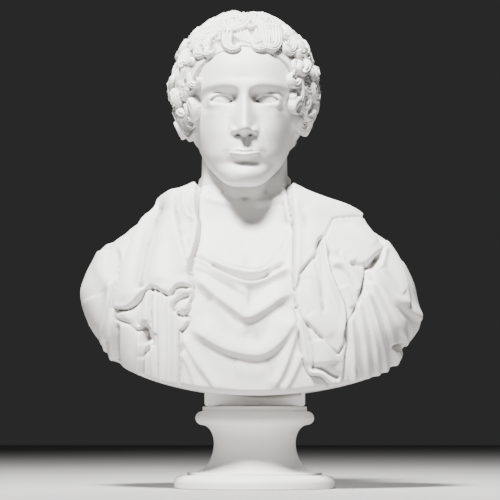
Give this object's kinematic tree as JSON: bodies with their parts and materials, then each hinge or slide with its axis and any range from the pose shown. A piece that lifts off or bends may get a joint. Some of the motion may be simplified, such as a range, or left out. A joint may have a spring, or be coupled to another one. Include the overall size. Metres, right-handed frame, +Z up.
{
  "type": "bust sculpture",
  "caption": "Draped classical portrait bust with curly hair, carved in white stone, standing on a turned round socle.",
  "frame": {"origin": "centre of the socle's round underside", "axes": "+Z up through the socle's axis to the head; the face looks along -Y; +X is to the right of someone facing the bust"},
  "size_m": [0.4854, 0.2699, 0.6808],
  "materials": {
    "bust_stone": "white statuary stone, rubbed smooth and matte",
    "socle_stone": "white statuary stone, turned and rubbed smooth"
  },
  "bodies": {
    "root": {"bust": "bust_stone", "socle": "socle_stone"}
  },
  "joints": []
}
